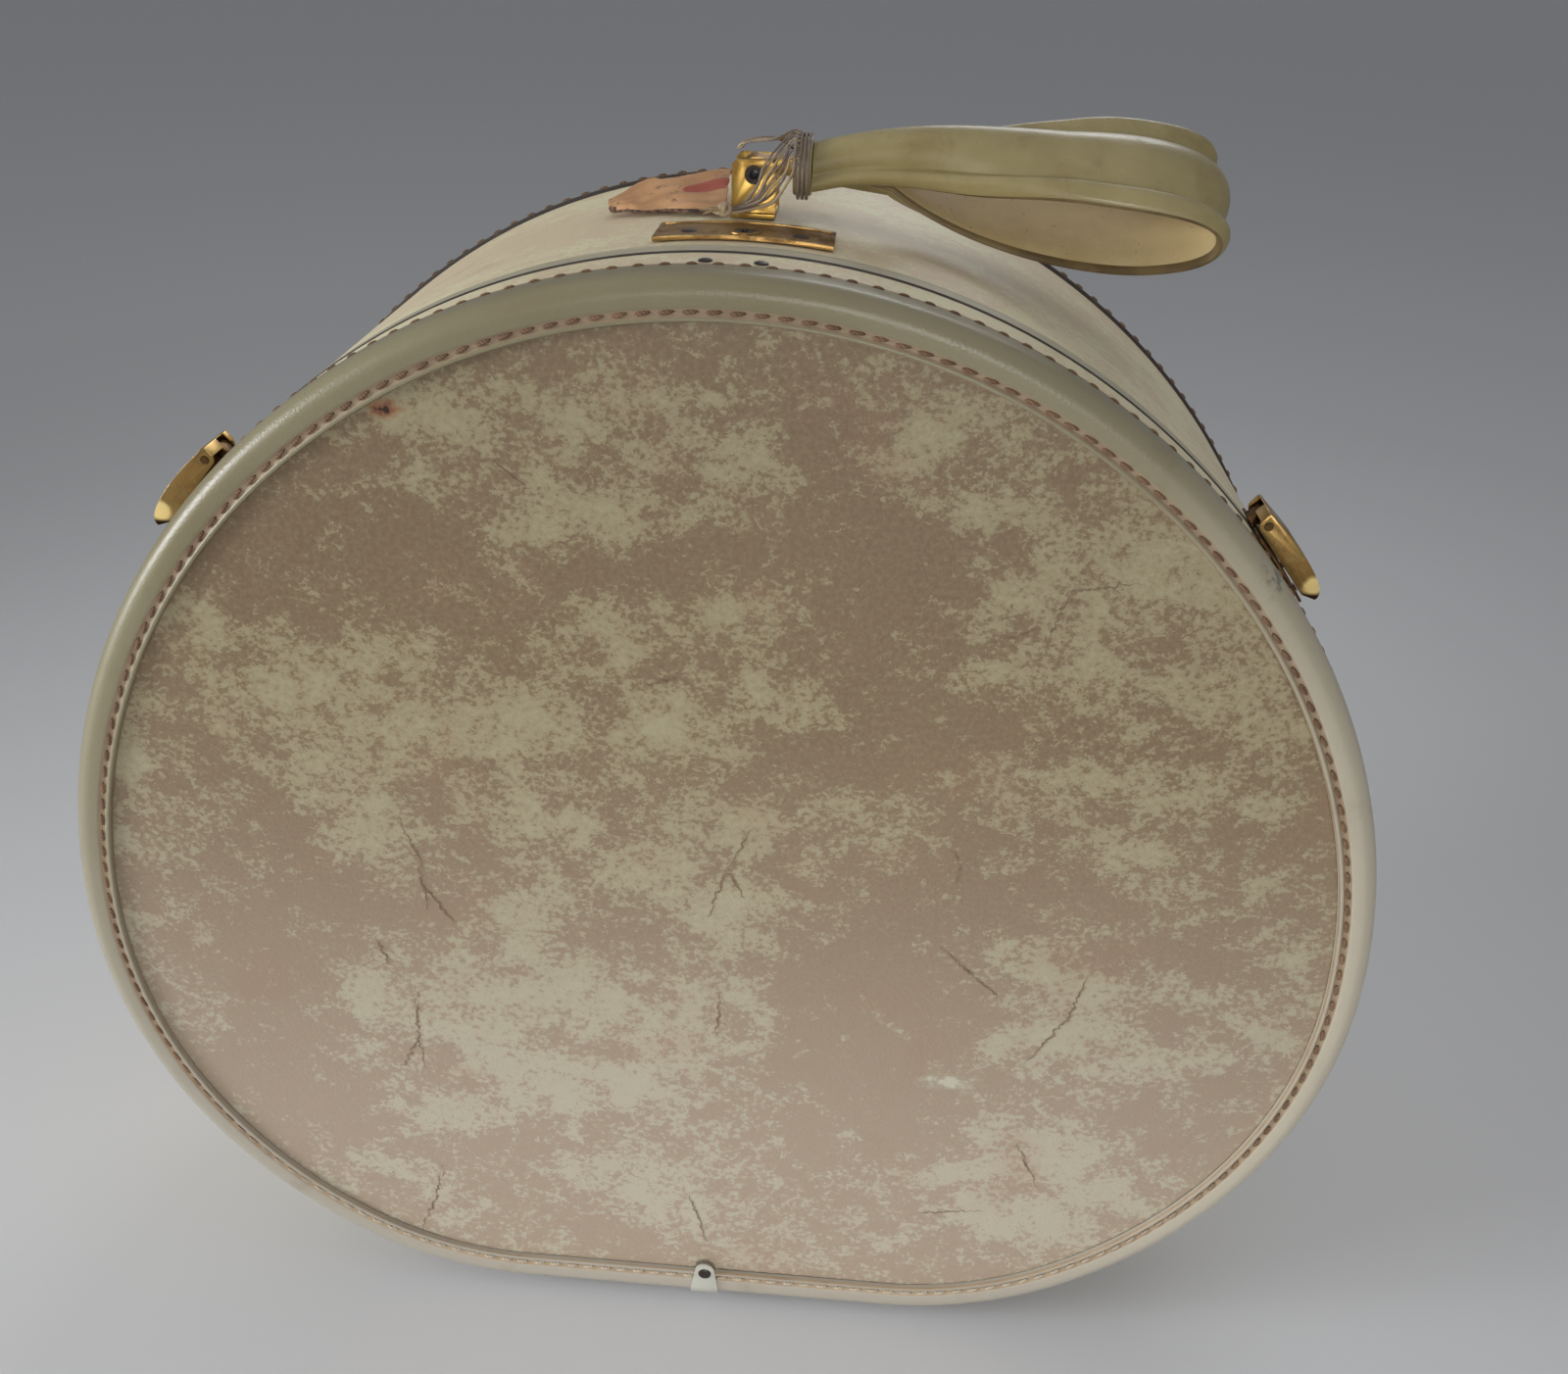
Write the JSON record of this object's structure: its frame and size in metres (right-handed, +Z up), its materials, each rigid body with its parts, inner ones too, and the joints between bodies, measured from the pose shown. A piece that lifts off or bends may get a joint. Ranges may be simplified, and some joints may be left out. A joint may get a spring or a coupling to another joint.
{
  "type": "oval hat suitcase",
  "caption": "Oval hard hat suitcase with a flat bottom, stitched binding, hinged shallow lid, side latches, key lock and a wide loop handle.",
  "frame": {"origin": "centre of the footprint, on the ground under the feet", "axes": "+X to the right seen from the lid, +Y from the lid to the back, +Z up to the handle"},
  "size_m": [0.457, 0.1934, 0.4521],
  "materials": {
    "board": "raw bent board",
    "marbled_vinyl": "marbled satin vinyl",
    "cream_binding": "stitched satin vinyl",
    "cream_tab": "satin vinyl",
    "lip_metal": "satin",
    "lining": "dull satin cloth",
    "foot_brass": "worn brass plate",
    "lock_brass": "worn brass plate",
    "lock_steel": "plain",
    "plug_brass": "worn brass",
    "post_brass": "worn brass plate",
    "handle_vinyl": "moulded vinyl",
    "string": "twisted cotton",
    "paper": "aged torn paper",
    "latch_brass": "worn brass plate",
    "hinge_brass": "worn brass plate",
    "dark_rivet": "oxidised"
  },
  "bodies": {
    "case": {"body_hoop": "board", "body_cover": "marbled_vinyl", "mouth_trim": "cream_binding", "valance": "lip_metal", "back_panel": "marbled_vinyl", "back_binding": "cream_binding", "back_clip": "cream_tab", "back_clip_rivet": "dark_rivet", "body_lining": "lining", "back_lining": "lining", "feet": "foot_brass", "lock_plate": "lock_brass", "lock_rivets": "lock_brass", "lock_case": "lock_steel", "handle_post": "post_brass", "handle_post_rivets": "post_brass", "handle_pin": "post_brass", "tag_string": "string", "luggage_tag": "paper", "latch_base_left": "latch_brass", "latch_base_right": "latch_brass", "latch_pin_left": "latch_brass", "latch_pin_right": "latch_brass", "latch_rivets": "latch_brass", "hinge_body_leaf_left": "hinge_brass", "hinge_body_leaf_right": "hinge_brass", "hinge_pin_left": "hinge_brass", "hinge_pin_right": "hinge_brass", "hinge_body_rivets": "hinge_brass"},
    "lid": {"lid_hoop": "board", "lid_cover": "marbled_vinyl", "lid_panel": "marbled_vinyl", "lid_binding": "cream_binding", "lid_lining": "lining", "lid_panel_lining": "lining", "lid_clip": "cream_tab", "lid_clip_rivet": "dark_rivet", "hasp": "lock_brass", "hasp_rivets": "dark_rivet", "latch_strike_left": "latch_brass", "latch_strike_right": "latch_brass", "strike_rivets": "latch_brass", "hinge_lid_leaf_left": "hinge_brass", "hinge_lid_leaf_right": "hinge_brass", "hinge_lid_rivets": "hinge_brass"},
    "handle": {"handle_tongue": "post_brass", "handle_ferrule": "handle_vinyl", "handle_strap": "handle_vinyl", "string_winding": "string"},
    "left_latch": {"latch_lever_left": "latch_brass"},
    "right_latch": {"latch_lever_right": "latch_brass"},
    "key": {"key_plug": "plug_brass"},
    "bolt": {"lock_bolt": "lock_steel"}
  },
  "joints": [
    {"name": "lid_swing", "type": "hinge", "parent": "case", "child": "lid", "pos_m": [0, -0.064, 0.0025], "axis": [1, 0, 0], "range_deg": [0, 105]},
    {"name": "handle_swing", "type": "hinge", "parent": "case", "child": "handle", "pos_m": [0, -0.002, 0.4326], "axis": [0, -1, 0], "range_deg": [0, 150]},
    {"name": "left_latch_lift", "type": "hinge", "parent": "case", "child": "left_latch", "pos_m": [-0.16883, -0.064, 0.34602], "axis": [0, 1, 0], "range_deg": [0, 55]},
    {"name": "right_latch_lift", "type": "hinge", "parent": "case", "child": "right_latch", "pos_m": [0.16883, -0.064, 0.34602], "axis": [0, -1, 0], "range_deg": [0, 55]},
    {"name": "key_turn", "type": "hinge", "parent": "case", "child": "key", "pos_m": [0, -0.0385, 0.421], "axis": [0, 0, 1], "range_deg": [0, 90]},
    {"name": "bolt_slide", "type": "slide", "parent": "case", "child": "bolt", "axis": [-1, 0, 0], "range_m": [0, 0.00566]}
  ],
  "couplings": [
    {"joint": "key_turn", "follows": "bolt_slide", "rad_per_m": 277.7}
  ]
}
